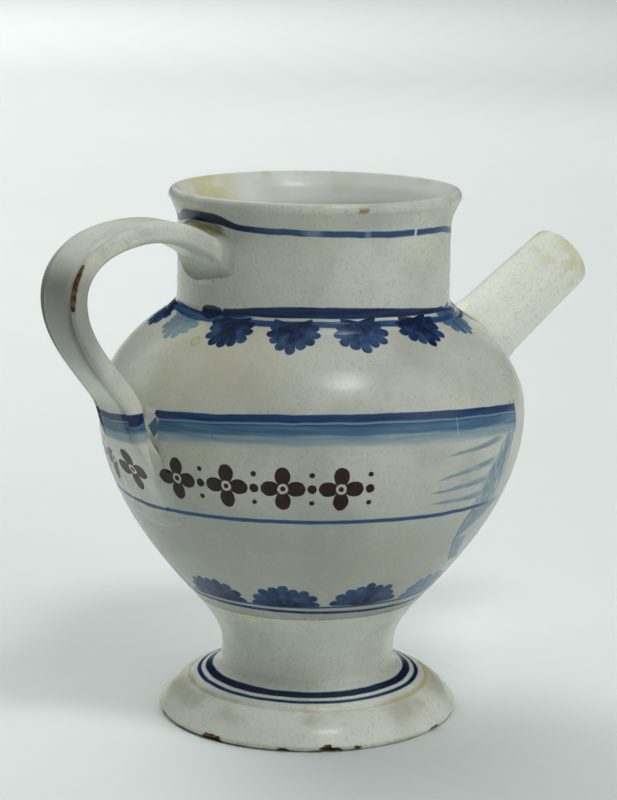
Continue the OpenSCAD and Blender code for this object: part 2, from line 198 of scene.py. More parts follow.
def spout_outline():
    """Radius and height above the spout's end, before the spout is turned to its axis."""
    e = SPOUT_END_ROUND
    tip = [(SPOUT_TIP_R - e * (1 - math.sin(a)), -e * (1 - math.cos(a)))
           for a in (math.pi / 2 * t for t in steps(6))]
    body = [(spout_radius(s), -s) for s in (e + (SPOUT_END_S - e) * t for t in steps(34)[1:])]
    lip = [(SPOUT_BORE_R + e * (1 - math.cos(a)), -e * (1 - math.sin(a)))
           for a in (math.pi / 2 * t for t in steps(5)[1:])]
    bore = [(SPOUT_BORE_R, -e - (SPOUT_END_S - e) * t) for t in reversed(steps(10))]
    return tip + body + bore + lip


# The strap handle

def bezier(points, t):
    a, b, c, d = points
    return a * (1 - t) ** 3 + b * 3 * t * (1 - t) ** 2 + c * 3 * t * t * (1 - t) + d * t ** 3


def tail_point(t):
    z = LAND_Z + (TAIL_Z - LAND_Z) * t
    gap = ease(t, LAND_GAP, -TAIL_T / 2, -TAIL_CLOSING * LAND_GAP, 0, 1)
    return Vector((-bowl_radius(z) - gap, z))


def strap_path(per_curve):
    """The strap's middle line in the plane of the spout, as points (x, z)."""
    arch_mid_z = ARCH_Z - STRAP_T / 2
    out_x = HANDLE_REACH - STRAP_T / 2
    root = Vector((-(NECK_R - ROOT_BITE), ROOT_Z))
    arch = Vector((-ARCH_X, arch_mid_z))
    outmost = Vector((-out_x, HANDLE_REACH_Z))
    land = tail_point(0)
    arch_in, arch_out, climb = ARCH_X - NECK_R, out_x - ARCH_X, arch_mid_z - ROOT_Z
    fall, drop, lean = arch_mid_z - HANDLE_REACH_Z, HANDLE_REACH_Z - LAND_Z, out_x + land.x
    # Each curve leaves and arrives by a share of its run, so that the arch follows its sizes
    curves = [
        (root, root + Vector((-0.33 * arch_in, 0.6 * climb)), arch + Vector((0.42 * arch_in, 0)), arch),
        (arch, arch - Vector((0.55 * arch_out, 0)), outmost + Vector((0, 0.62 * fall)), outmost),
        (outmost, outmost - Vector((0, 0.37 * drop)), land + Vector((-0.43 * lean, 0.35 * drop)), land),
    ]
    path = [root]
    for curve in curves:
        path += [bezier(curve, t) for t in steps(per_curve)[1:]]
    path += [tail_point(t) for t in steps(per_curve)[1:]]
    bend, span = 3 * per_curve, per_curve // 3
    for _ in range(per_curve // 4):
        for i in range(bend - span, bend + span):
            path[i] = (path[i - 1] + 2 * path[i] + path[i + 1]) / 4
    return path


def strap_thickness(share):
    """Thickness at a share of the path, whose four stretches are a quarter each."""
    if share < 0.25:
        return ease(share / 0.25, ROOT_T, STRAP_T, 0, 0, 1)
    if share < 0.75:
        return STRAP_T
    return ease((share - 0.75) / 0.25, STRAP_T, TAIL_T, 0, 0, 1)


def strap_half_width(share):
    return STRAP_W / 2 * (1 + ROOT_SPREAD * max(0.0, 1 - share / 0.25) ** 2)


SECTION_SOFTNESS = 0.5
# A groove runs beside each rolled edge, on the outer face and on the inner one
OUTER_GROOVE, INNER_GROOVE, GROOVE_IN, GROOVE_W = 1.5, 0.9, 2.9, 0.75
STRAP_HOLLOW = 0.4
STRAP_STATIONS = 30
STRAP_PATH = strap_path(STRAP_STATIONS)


def strap_heading(i):
    ahead = STRAP_PATH[min(i + 1, len(STRAP_PATH) - 1)]
    behind = STRAP_PATH[max(i - 1, 0)]
    return (ahead - behind).normalized()


def strap_ring(i):
    """The points round the strap at one station: two rolled edges with a slight hollow between."""
    share = i / (len(STRAP_PATH) - 1)
    thick, half_w = strap_thickness(share), strap_half_width(share)
    heading = strap_heading(i)
    outward = Vector((heading.y, -heading.x))
    depth = min(1.0, share / 0.08) * (1 - smooth((share - 0.76) / 0.12))
    ring = []
    for k in range(STRAP_SIDES):
        a = 2 * math.pi * k / STRAP_SIDES
        c, s = math.cos(a), math.sin(a)
        y = half_w * math.copysign(abs(c) ** SECTION_SOFTNESS, c)
        n = thick / 2 * math.copysign(abs(s) ** SECTION_SOFTNESS, s)
        groove = math.exp(-((abs(y) - half_w + GROOVE_IN) / GROOVE_W) ** 2)
        if s > 0:
            n -= depth * (OUTER_GROOVE * groove + STRAP_HOLLOW * max(0.0, 1 - (y / half_w) ** 2))
        else:
            n += depth * INNER_GROOVE * groove
        p = STRAP_PATH[i] + outward * n
        ring.append(Vector((p.x, y, p.y)))
    return ring


def strap_place(p):
    """A point's nearest station on the strap's path, and its offsets from it, outward and along."""
    flat = Vector((p.x, p.z))
    i = min(range(len(STRAP_PATH)), key=lambda k: (STRAP_PATH[k] - flat).length_squared)
    heading = strap_heading(i)
    off = flat - STRAP_PATH[i]
    return i, off.dot(Vector((heading.y, -heading.x))), off.dot(heading)


def clear_of_bore(p):
    """Keeps the strap's root within the neck's wall."""
    r = math.hypot(p.x, p.y)
    least = NECK_R - NECK_WALL / 2
    if p.z > NECK_SEAM_Z and r < least:
        return Vector((p.x * least / r, p.y * least / r, p.z))
    return p


def inside_strap(p):
    """True if a point lies in the strap."""
    i, n, along = strap_place(p)
    share = i / (len(STRAP_PATH) - 1)
    if i in (0, len(STRAP_PATH) - 1) and abs(along) > 1:
        return False
    power = 2 / SECTION_SOFTNESS
    across = abs(p.y) / strap_half_width(share)
    return across ** power + (abs(n) / (strap_thickness(share) / 2)) ** power < 1


def inside_spout(p):
    s = (SPOUT_TIP - p).dot(SPOUT_AXIS)
    off = p - (SPOUT_TIP - SPOUT_AXIS * s)
    return off.length < spout_radius(max(0.0, s))


# Making pieces

def start_fresh():
    if bpy.context.object and bpy.context.object.mode != "OBJECT":
        bpy.ops.object.mode_set(mode="OBJECT")
    bpy.ops.object.select_all(action="DESELECT")


def mesh_in_edit():
    mesh = bmesh.from_edit_mesh(bpy.context.object.data)
    mesh.verts.ensure_lookup_table()
    return mesh


def begin_ring(name, points):
    """Starts a piece from a circle whose corners are moved to the points, in millimetres."""
    start_fresh()
    bpy.ops.mesh.primitive_circle_add(vertices=len(points), radius=10 * MM)
    piece = bpy.context.object
    piece.name = name
    piece.data.name = name
    bpy.ops.object.mode_set(mode="EDIT")
    mesh = mesh_in_edit()
    for corner, point in zip(mesh.verts, points):
        corner.co = Vector(point) * MM
    bmesh.update_edit_mesh(piece.data)
    bpy.ops.mesh.select_all(action="SELECT")
    return piece


def end_piece(piece):
    bpy.ops.mesh.select_all(action="SELECT")
    bpy.ops.mesh.remove_doubles(threshold=0.002 * MM)
    bpy.ops.mesh.normals_make_consistent(inside=False)
    bpy.ops.object.mode_set(mode="OBJECT")
    bpy.ops.object.shade_smooth()
    return piece


def turned(name, outline, round_steps):
    """A piece thrown on the wheel: its closed outline spun about the upright axis."""
    piece = begin_ring(name, [(r, 0, z) for r, z in outline])
    bpy.ops.mesh.spin(steps=round_steps, angle=2 * math.pi, center=(0, 0, 0), axis=(0, 0, 1))
    return end_piece(piece)


def pulled(name, rings, joined):
    """A piece pulled from ring to ring. Its ends are capped, or joined to make a loop."""
    piece = begin_ring(name, rings[0])
    sides = len(rings[0])
    for ring in rings[1:]:
        bpy.ops.mesh.extrude_edges_move()
        mesh = mesh_in_edit()
        first_new = len(mesh.verts) - sides
        for corner in mesh.verts[first_new:]:
            old = next(e.other_vert(corner) for e in corner.link_edges
                       if e.other_vert(corner).index < first_new)
            corner.co = ring[old.index - (first_new - sides)] * MM
        bmesh.update_edit_mesh(piece.data)
    bpy.ops.mesh.select_all(action="DESELECT")
    mesh = mesh_in_edit()
    for edge in mesh.edges:
        edge.select_set(len(edge.link_faces) == 1)
    bmesh.update_edit_mesh(piece.data)
    if joined:
        bpy.ops.mesh.bridge_edge_loops()
    else:
        bpy.ops.mesh.fill_holes(sides=sides)
    return end_piece(piece)


def surface_point(radius, middle_z, facing, across, up, height):
    """A point at a height over a round vessel, by its place on it beside a middle point."""
    slope = radius(middle_z + 0.5) - radius(middle_z - 0.5)
    z = middle_z + up / math.sqrt(1 + slope * slope)
    here = (radius(z + 0.05) - radius(z - 0.05)) / 0.1
    lean = math.sqrt(1 + here * here)
    r = radius(z) + height / lean
    angle = facing + across / radius(middle_z)
    return Vector((r * math.cos(angle), r * math.sin(angle), z - height * here / lean))


def edge_reach(inside, place, height, most):
    """How far from the middle a luted piece's side is, along one direction, found by halving."""
    near, far = 0.0, most
    for _ in range(HALVINGS):
        middle = (near + far) / 2
        if inside(place(middle, height)):
            near = middle
        else:
            far = middle
    return near


PRESSED_RINGS = 18
HALVINGS = 22
# Further than any side of a luted piece is from its middle
FAR_SIDE = 40.0
LEAST_REACH = 1.0
# How closely the pressed clay keeps to its corner at its top and at its foot, where 1 fills least of it
TOP_HOLD, FOOT_HOLD = 0.6, 0.78
# The clay's edges go on into the luted piece above its top, and under the vessel's face past its foot
TOP_STEP, TOP_SINK, FOOT_RUN, FOOT_SINK, BACK_SINK = 0.8, 0.15, 2.5, 0.03, 1.4
NEAREST = 0.1


def pressed(name, radius, inside, middle_z, lift, facing, rise, reach, sag=0.0, climb=0.0, far=0.0):
    """Clay pressed into the corner round a luted piece, from its side out on to the vessel.

    The luted piece's middle is at middle_z on the vessel and climbs by lift for each height.
    The clay rises up its side and reaches out from it. Below the piece it reaches further by sag
    and rises higher by climb, and above it less by the same amounts. On the far side both grow by far.
    """
    curves = []
    for k in range(PRESSED_SIDES):
        a = 2 * math.pi * k / PRESSED_SIDES

        def place(t, height):
            up = t * math.sin(a) + lift * height
            return surface_point(radius, middle_z, facing, t * math.cos(a), up, height)

        more = far * max(0.0, -math.cos(a))
        high = rise + more - climb * math.sin(a)
        top_t = edge_reach(inside, place, high, FAR_SIDE)
        above_t = edge_reach(inside, place, high + TOP_STEP, FAR_SIDE)
        foot_t = edge_reach(inside, place, 0, FAR_SIDE)
        out = max(LEAST_REACH, reach + more - sag * math.sin(a))
        end_t = max(foot_t + out, top_t + out / 2)
        top, above = place(top_t, high), place(above_t, high + TOP_STEP)
        foot, before = place(end_t, 0), place(end_t - 0.5, 0)
        corner = place(foot_t, 0)
        curve = (top, top + (top - above).normalized() * TOP_HOLD * (corner - top).length,
                 foot - (foot - before).normalized() * FOOT_HOLD * (corner - foot).length, foot)
        points = [place(max(NEAREST, above_t - TOP_SINK), high + TOP_STEP)]
        points += [bezier(curve, t) for t in steps(PRESSED_RINGS)]
        points.append(place(end_t + FOOT_RUN, -FOOT_SINK))
        points.append(place(end_t + FOOT_RUN - 0.5, -BACK_SINK))
        points.append(place(max(NEAREST, above_t - BACK_SINK), high + TOP_STEP / 2))
        curves.append(points)
    rings = [[points[i] for points in curves] for i in range(len(curves[0]))]
    return pulled(name, rings, joined=True)


# How far the lip leans
LEAN_TOP = Vector((0.788, -0.616, 0)) * 0.7
# The unevenness grows out from the axis, and ends past the belly
AXIS_R, AXIS_RUN, EVEN_R, EVEN_RUN = 4.0, 20.0, 84.0, 16.0


def hand_made(piece):
    """Gives every piece the same small unevenness, so that the seams still meet."""
    for corner in piece.data.vertices:
        p = corner.co / MM
        r = math.hypot(p.x, p.y)
        out = 1 - smooth((r - EVEN_R) / EVEN_RUN)
        if r > AXIS_R:
            a = math.atan2(p.y, p.x)
            wave = (0.28 * math.sin(2 * a + 0.6 + p.z / 45) + 0.14 * math.sin(3 * a - p.z / 28)
                    + 0.05 * math.sin(p.z * 1.15 + 0.6 * math.sin(a)))
            share = min(1.0, (r - AXIS_R) / AXIS_RUN) * out
            p.x += wave * share * p.x / r
            p.y += wave * share * p.y / r
        p += LEAN_TOP * (p.z / JAR_H) ** 2 * out
        corner.co = p * MM


def set_attribute(piece, name, values):
    layer = piece.data.attributes.new(name, "FLOAT", "POINT")
    layer.data.foreach_set("value", values)


def mark_painted_side(piece, radius=None):
    """Marks where the painting goes: everywhere, or only outside the middle of the bowl's wall."""
    sides = []
    for corner in piece.data.vertices:
        p = corner.co / MM
        outside = radius is None or math.hypot(p.x, p.y) > radius(p.z) - BOWL_WALL / 2
        sides.append(1.0 if outside else 0.0)
    set_attribute(piece, "painted_side", sides)


# Chips along the edge of the foot: middle angle, half width in degrees, depth in millimetres
FOOT_CHIPS = ((-166, 5.0, 1.0), (-137, 3.6, 0.6), (-120, 5.0, 1.3), (-109, 2.4, 0.6), (-70, 4.0, 0.7),
              (40, 5.0, 0.9), (118, 6.0, 1.1), (160, 3.5, 0.7))
CHIP_TOP_Z, CHIP_FROM_R, CHIP_RUN = 2.6, 52.0, 3.0


def chip_foot(piece):
    """Breaks small flakes from the foot's edge and marks the bare clay that they show."""
    bare = []
    for corner in piece.data.vertices:
        p = corner.co / MM
        r = math.hypot(p.x, p.y)
        angle = math.degrees(math.atan2(p.y, p.x))
        rough = noise.noise(p * 0.5) * 0.5 + noise.noise(p * 1.3) * 0.35
        near_edge = max(0.0, min(1.0, (r - CHIP_FROM_R) / CHIP_RUN))
        low = max(0.0, 1 - p.z / (CHIP_TOP_Z + 2 * rough)) * near_edge
        cut = 0.0
        for middle, half, depth in FOOT_CHIPS:
            off = abs((angle - middle + 180) % 360 - 180) / half
            cut = max(cut, depth * min(1.0, max(0.0, 1 - off + rough) * 1.6) * low ** 0.6)
        bare.append(min(1.0, cut * 1.8))
        if cut > 0:
            p.x -= cut * 0.7 * p.x / r
            p.y -= cut * 0.7 * p.y / r
            p.z += cut * 0.5 * max(0.0, 1 - p.z / CHIP_TOP_Z)
            corner.co = p * MM
    set_attribute(piece, "bare_clay", bare)


# A long flake is off the near outer edge of the strap between these heights
CHIP_HIGH, CHIP_LOW = 180.8, 164.4
# Its middle lies this far in from the edge, and it reaches this far to each side
CHIP_INSET, CHIP_HALF_W = 0.9, 1.2


def chip_handle(piece):
    """Breaks the long flake from the strap and marks the bare clay that it shows."""
    bare = []
    for corner in piece.data.vertices:
        p = corner.co / MM
        t = (CHIP_HIGH - p.z) / (CHIP_HIGH - CHIP_LOW)
        cut = 0.0
        if 0 < t < 1 and p.x < -ARCH_X and p.y < 0:
            n = strap_place(p)[1]
            side = math.hypot(n - STRAP_T / 2 + CHIP_INSET, p.y + STRAP_W / 2 - CHIP_INSET)
            width = CHIP_HALF_W * (1 - (2 * t - 1) ** 2) ** 0.35 + noise.noise(p * 0.6) * 0.3
            cut = max(0.0, min(1.0, 0.5 + (width - side) / 0.6))
        bare.append(cut)
        corner.co = (p + Vector((0.4, 0.3, -0.1)) * cut) * MM
    set_attribute(piece, "bare_clay", bare)


# The clay under the strap turns lumpy from this height up, over a short run
LUMPS_Z, LUMPS_RUN = 110.0, 6.0


def lump_tail(piece):
    """Leaves the clay rough where it was pressed in under the strap."""
    for corner in piece.data.vertices:
        p = corner.co / MM
        share = smooth((p.z - LUMPS_Z) / LUMPS_RUN)
        lump = 0.5 + noise.noise(p * 0.3) * 0.9 + noise.noise(p * 0.7) * 0.6
        corner.co = (p + corner.normal * lump * share) * MM


# Shader values and finishes

class Wire:
    """A value in a material: arithmetic on it adds Math nodes."""

    def __init__(self, finish, socket):
        self.finish = finish
        self.socket = socket

    def math(self, operation, *others):
        return self.finish.value("ShaderNodeMath", {"operation": operation},
                                 dict(enumerate((self, *others))))

    def after(self, operation, first):
        return self.finish.value("ShaderNodeMath", {"operation": operation}, {0: first, 1: self})

    def __add__(self, other):
        return self.math("ADD", other)

    __radd__ = __add__

    def __sub__(self, other):
        return self.math("SUBTRACT", other)

    def __rsub__(self, other):
        return self.after("SUBTRACT", other)

    def __mul__(self, other):
        return self.math("MULTIPLY", other)

    __rmul__ = __mul__

    def __truediv__(self, other):
        return self.math("DIVIDE", other)

    def __pow__(self, other):
        return self.math("POWER", other)

    def __abs__(self):
        return self.math("ABSOLUTE")

    def floor(self):
        return self.math("FLOOR")

    def root(self):
        return self.math("SQRT")

    def hypot(self, other):
        return (self * self + other * other).root()

    def most(self, other):
        return self.math("MAXIMUM", other)

    def least(self, other):
        return self.math("MINIMUM", other)

    def wrapped(self, other):
        return self.math("FLOORED_MODULO", other)

    def ramp(self, low, high):
        """0 at low and 1 at high, with a soft start and end. High may be the smaller."""
        sockets = {"Value": self, "From Min": low, "From Max": high}
        return self.finish.value("ShaderNodeMapRange", {"interpolation_type": "SMOOTHSTEP"}, sockets)

    def near(self, middle, half, soft):
        """1 within half of the middle, 0 outside."""
        return abs(self - middle).ramp(half + soft, half - soft)


class Finish:
    """A material that is built from nodes, with the place on the jar as its first values."""

    def __init__(self, name):
        self.material = bpy.data.materials.new(name)
        self.material.use_nodes = True
        self.tree = self.material.node_tree
        self.tree.nodes.clear()
        self.place = self.value("ShaderNodeTexCoord", output="Object")
        split = self.node("ShaderNodeSeparateXYZ", sockets={0: self.place})
        x, y, z = (Wire(self, split.outputs[i]) / MM for i in range(3))
        self.x, self.y, self.z = x, y, z
        self.radius = x.hypot(y)
        self.angle = y.math("ARCTAN2", x) * math.degrees(1)
        self.from_spout = abs(self.angle)
        self.near_side = self.angle.ramp(1, -1)

    def node(self, kind, settings=None, sockets=None):
        node = self.tree.nodes.new(kind)
        for key, setting in (settings or {}).items():
            if key == "stops":
                self.set_stops(node.color_ramp, setting)
            elif key == "ramp_kind":
                node.color_ramp.interpolation = setting
            else:
                setattr(node, key, setting)
        for key, value in (sockets or {}).items():
            if isinstance(value, Wire):
                self.tree.links.new(value.socket, node.inputs[key])
            else:
                node.inputs[key].default_value = value
        return node

    def set_stops(self, ramp, stops):
        while len(ramp.elements) < len(stops):
            ramp.elements.new(1.0)
        for element, (place, colour) in zip(ramp.elements, stops):
            element.position = place
            element.color = colour

    def value(self, kind, settings=None, sockets=None, output=0):
        return Wire(self, self.node(kind, settings, sockets).outputs[output])

    def mix(self, first, second, share):
        return self.value("ShaderNodeMix", {"data_type": "RGBA"}, {0: share, 6: first, 7: second}, 2)

    def stretched(self, x, y, z):
        return self.value("ShaderNodeVectorMath", {"operation": "MULTIPLY"},
                          {0: self.place, 1: (x, y, z)})

    def noise(self, size, detail=2.0, stretch=None):
        """Soft noise from 0 to 1 with features of a size in millimetres."""
        vector = self.stretched(*stretch) if stretch else self.place
        return self.value("ShaderNodeTexNoise", {},
                          {"Vector": vector, "Scale": 1 / (size * MM), "Detail": detail})

    def chance(self, first, second=0.0):
        """A steady random number from 0 to 1 for a pair of whole numbers."""
        pair = self.value("ShaderNodeCombineXYZ", {}, {0: first, 1: second, 2: 0.5})
        return self.value("ShaderNodeTexWhiteNoise", {"noise_dimensions": "3D"}, {"Vector": pair})


def tint(r, g, b):
    return (r, g, b, 1.0)


# Painted decoration: each layer gives how thickly the colour lies, from 0 to 1

def line(f, off, half, soft=0.3, sway=0.8):
    """A brushed line where off is the distance from its middle."""
    shake = (f.noise(11) - 0.5) * sway
    return abs(off + shake).ramp(half + soft, half - soft)


def streaks(f):
    """Long level brush marks."""
    return f.noise(22, 3.0, (1, 1, 14))


def palmettes(f, count, first_angle, along, length, side_pull, petal_w, petal_step, spread, tones):
    """Fans of brushed petals in a row round the jar. Returns their colour's thickness."""
    spacing = 360 / count
    index = ((f.angle - first_angle) / spacing + 0.5).floor()
    fan_id = index.wrapped(count)
    shift = (f.chance(fan_id) - 0.5) * 1.6
    across = (f.angle - first_angle - index * spacing) * f.radius * math.radians(1) + shift
    along = along + (f.chance(fan_id, 7) - 0.5) * 1.0
    reach = across.hypot(along)
    turn = across.math("ARCTAN2", along)
    petal = (turn / petal_step + 0.5).floor()
    off_axis = (turn - petal * petal_step) * reach
    uneven = (f.chance(fan_id, petal) - 0.5) * 1.8
    petal_turn = abs(petal) * petal_step
    petal_len = length * (1 - side_pull * petal_turn * petal_turn) + uneven - petal_w
    past = (reach - petal_len).most(0)
    ragged = (f.noise(2.5) - 0.5) * 0.8
    side = off_axis.hypot(past) - petal_w + ragged
    shape = side.ramp(0.28, -0.28) * abs(turn).ramp(spread + 0.06, spread - 0.06)
    heart = reach.ramp(length * 0.62, length * 0.12)
    marks = f.noise(3.0, 3.0)
    touch = (f.chance(fan_id, petal + 20) - 0.5) * 0.2
    thick = 0.8 + 0.2 * heart + (marks - 0.5) * 0.6 + touch
    strength = f.value("ShaderNodeValToRGB", {"ramp_kind": "CONSTANT", "stops": tones},
                       {0: (fan_id + 0.5) / count})
    return shape * (thick * strength).most(0.05).least(1.0)


def shade(v):
    return tint(v, v, v)


def fan_tones(count, strengths):
    """How strongly the fans are painted. A strength holds from its fan to the next one named."""
    return [(number / count, shade(strength)) for number, strength in strengths]


UPPER_FANS, LOWER_FANS = 14, 11
UPPER_TONES = fan_tones(UPPER_FANS, ((0, 0.96), (1, 1.12), (2, 0.62), (3, 0.45), (6, 0.85), (9, 1.0),
                                     (11, 0.36), (12, 1.1), (13, 1.0)))
LOWER_TONES = fan_tones(LOWER_FANS, ((0, 1.0), (1, 1.0), (2, 0.5), (3, 0.9), (6, 0.8), (9, 0.55),
                                     (10, 1.0)))
# The way down the shoulder, out and down, and the way up the bowl, up and out
DOWN_SHOULDER, UP_BOWL = (0.843, 0.537), (0.762, 0.648)
UPPER_START_Z, LOWER_START_Z = 156.4, 52.2


def upper_palmettes(f):
    along = (f.radius - NECK_R) * DOWN_SHOULDER[0] + (UPPER_START_Z - f.z) * DOWN_SHOULDER[1]
    fans = palmettes(f, UPPER_FANS, -109, along, length=13.9, side_pull=0.19, petal_w=1.85,
                     petal_step=math.radians(19), spread=1.75, tones=UPPER_TONES)
    on_shoulder = f.z.ramp(143, 144) * f.radius.ramp(74, 72)
    return fans * on_shoulder * f.from_spout.ramp(20, 23)


def lower_palmettes(f):
    start_r = bowl_radius(LOW_LINE_Z)
    along = (f.z - LOWER_START_Z) * UP_BOWL[0] + (f.radius - start_r) * UP_BOWL[1]
    fans = palmettes(f, LOWER_FANS, -137, along, length=13.4, side_pull=0.02, petal_w=1.95,
                     petal_step=math.radians(19.5), spread=1.5, tones=LOWER_TONES)
    return fans * f.z.ramp(68, 67) * f.z.ramp(LOWER_START_Z, LOWER_START_Z + 0.6)


LOW_LINE_Z, LOWEST_LINE_Z = 52.6, 50.2


def low_lines(f):
    """The two lines round the lower end of the bowl."""
    tilt = (f.from_spout - 130) * 0.016
    upper = line(f, f.z - LOW_LINE_Z - tilt * 0.3, 0.45, 0.25, 0.5) * 0.72
    lower = line(f, f.z - LOWEST_LINE_Z - tilt, 0.65, 0.25, 0.5) * 0.85
    return upper.most(lower) * (0.75 + 0.5 * streaks(f))


# The scroll: its end in degrees from the strap, and the heights of its top and foot
SCROLL_END, SCROLL_TOP_Z, SCROLL_FOOT_Z = 121.5, 130.1, 91.0


def scroll_foot(f):
    """The thin line along the foot of the scroll."""
    turn = 180 - f.from_spout
    bow = (turn - 55) / 60
    middle = SCROLL_FOOT_Z - bow * bow * 1.7
    return line(f, f.z - middle, 0.72, 0.3, 0.9) * 0.7 * turn.ramp(SCROLL_END - 2, SCROLL_END - 12)


def scroll_head(f):
    """The head of the long scroll: a dark line above, and washes of blue below it."""
    turn = 180 - f.from_spout
    bow = (turn - 60) / 56
    top_z = SCROLL_TOP_Z - bow * bow * 4.3
    down = top_z - f.z + (f.noise(14) - 0.5) * 1.1
    marks = streaks(f)
    dark = down.ramp(-0.25, 0.25) * down.ramp(2.9, 2.2)
    pale = down.ramp(2.2, 2.9) * down.ramp(4.0, 3.3)
    wash = down.ramp(3.0, 3.7) * down.ramp(7.6, 6.0)
    thin = down.ramp(6.0, 7.2) * down.ramp(12.6, 8.2)
    band = (dark * (0.62 + 0.38 * marks) + pale * 0.3 + wash * (0.22 + 0.62 * marks)
            + thin * (0.02 + 0.42 * marks))
    return band * turn.ramp(SCROLL_END + 0.5, SCROLL_END - 0.5)


def strap_blot(f):
    """The full brush that was set down on the strap's near edge."""
    across = (f.x + 87.5 + (f.noise(4) - 0.5) * 2) / 4.4
    up = (f.z - 124 + (f.noise(4) - 0.5) * 1.0) / 2.3
    return across.hypot(up).ramp(1.1, 0.85) * f.y.ramp(-8.2, -9.2) * 0.95


def scroll(f):
    """The head of the scroll on the bowl, which starts beside the strap with a pale leaf below it."""
    turn = 180 - f.from_spout
    ragged = (f.noise(5) - 0.5) * 2.4
    limit = 6.9 + (126 - f.z).ramp(0.5, 3.0) * 2.2
    start = (turn + ragged - limit).ramp(-0.5, 0.5)
    scratch = 1 - 0.6 * turn.near(92.6 + (f.noise(4) - 0.5) * 0.7, 0.16, 0.12) * f.z.near(123, 3.2, 0.8)
    leaf = (abs(turn - 7.6) / 2.3 + abs(f.z - 120.6) / 3.7 + ragged * 0.08).ramp(1.08, 0.88)
    return (scroll_head(f) * start * scratch).most(leaf * 0.44)


def scroll_end(f):
    """Upright strokes that close the scroll, quick sideways strokes beside them, and its looped tail."""
    turn = 180 - f.from_spout
    edge = SCROLL_END - (126 - f.z) * 0.19
    inside = f.z.ramp(89, 90.5) * f.z.ramp(127.2, 125.6)
    bristles = f.noise(1.5, 2.0, (1, 1, 0.05))
    uprights = (turn - edge).near(0.1, 0.22, 0.3) * (0.35 + 0.6 * f.noise(12))
    uprights = uprights.most((turn - edge).near(-3.2, 0.3, 0.4) * (0.15 + 0.6 * f.noise(9)))
    broad = 5 + (116 - f.z).ramp(0, 16) * 4
    brushed = (edge - turn).ramp(0, 1.5) * (edge - turn - broad).ramp(3, -2) * f.z.ramp(120, 112)
    wash = brushed * (0.06 + 0.95 * (bristles - 0.3).most(0))
    flicks = None
    for z, left, right, rise in ((115, 87, 111, 0.11), (107.5, 85, 108, 0.16), (100.8, 83, 107, 0.05),
                                 (95, 84, 107, -0.02)):
        along = (turn - left) / (right - left)
        off = f.z - z - (turn - right) * rise + (f.noise(14) - 0.5) * 2.0
        body = (abs(off) / (0.5 + 1.9 * along.most(0))).ramp(1.0, 0.1)
        body = body * along.ramp(0, 0.3) * along.ramp(1.2, 0.85)
        stroke = body * (0.02 + 0.46 * f.noise(8, 2.0, (1, 1, 7)))
        flicks = stroke if flicks is None else flicks.most(stroke)
    left_side = 103.4 + ((f.z - 81) / 5.6) * ((f.z - 81) / 5.6)
    right_side = 103.9 + (f.z - 77.5) * 1.38
    low = f.z.ramp(65, 67.5) * f.z.ramp(90.8, 89.6)
    loop = turn.near(left_side, 0.4, 0.35) * low
    loop = loop.most(turn.near(right_side, 0.45, 0.4) * f.z.ramp(77, 78) * f.z.ramp(90.8, 89.6))
    filled = (turn - left_side).ramp(0, 1) * (right_side - turn).ramp(-0.5, 1.5) * low
    lobe = (turn - left_side).ramp(0, 1.2) * (left_side + 9 - turn).ramp(0, 5) * low * f.z.ramp(79, 76)
    tail = (loop * (0.3 + 0.5 * f.noise(6))).most(filled.most(lobe) * (0.08 + 0.4 * bristles))
    return (uprights.most(wash).most(flicks) * inside).most(tail)


# The flowers: degrees from one to the next, the height of their middles, and the last one's number
FLOWER_STEP, FLOWER_Z, LAST_FLOWER = 15.0, 103.6, 4


def rosettes(f):
    """A row of small brown four-leaved flowers and dots along the scroll."""
    turn = 180 - f.from_spout
    per_degree = (BELLY_R - 1.5) * math.radians(1)
    index = (turn / FLOWER_STEP + 0.5).floor()
    middle_z = FLOWER_Z + (f.noise(60) - 0.5) * 2
    across = (turn - index * FLOWER_STEP) * per_degree
    up = f.z - middle_z
    reach = across.hypot(up) + (f.noise(2.2) - 0.5) * 0.9
    spin = up.math("ARCTAN2", across) * 2
    leaf = abs(spin.math("COSINE"))
    leaves = (reach - (2.2 + 5.6 * leaf ** 0.8)).ramp(0.3, -0.3) * reach.ramp(1.7, 2.3)
    eye = reach.ramp(1.1, 0.6)
    flower = leaves.most(eye) * index.ramp(LAST_FLOWER + 0.6, LAST_FLOWER + 0.4)
    gap_index = (turn / FLOWER_STEP).floor()
    gap_across = (turn - (gap_index + 0.5) * FLOWER_STEP) * per_degree
    dots = None
    for dz, size in ((0, 1.5), (5.2, 0.85), (-5.2, 0.85)):
        dist = gap_across.hypot(up - dz) + (f.noise(2.2) - 0.5) * 0.6
        dot = dist.ramp(size + 0.25, size - 0.25)
        dots = dot if dots is None else dots.most(dot)
    dots = dots * gap_index.ramp(LAST_FLOWER + 0.6, LAST_FLOWER + 0.4) * gap_index.ramp(0.4, 0.6)
    return flower.most(dots) * f.radius.ramp(66, 68) * (0.55 + 0.7 * f.noise(4.0, 3.0))


# Heights of the neck's stripe, of the crease at its foot and of the band there
STRIPE_Z, CREASE_Z, BAND_TOP_Z = 188.9, 158.5, 163.0


def neck_stripe(f):
    away = f.from_spout
    middle = STRIPE_Z + (away - 110) * 0.022 + away.ramp(157, 171) * 2.2 - away.ramp(68, 44) * 1.8
    half = 1.1 + away.ramp(158, 170) * 0.75
    stroke = abs(f.z - middle + (f.noise(10) - 0.5) * 1.0).ramp(half + 0.35, half - 0.35)
    pale = (f.angle.near(-128, 3.5, 2.0) * 0.45).most(f.angle.near(-106, 1.2, 0.8) * 0.45)
    gap = f.angle.near(-83.2, 0.7, 0.5)
    marks = streaks(f)
    thick = (0.5 + 0.3 * away.ramp(140, 165) + 0.45 * marks) * (1 - pale) * (1 - gap)
    return stroke * thick.least(1.0) * f.radius.ramp(49, 49.6)


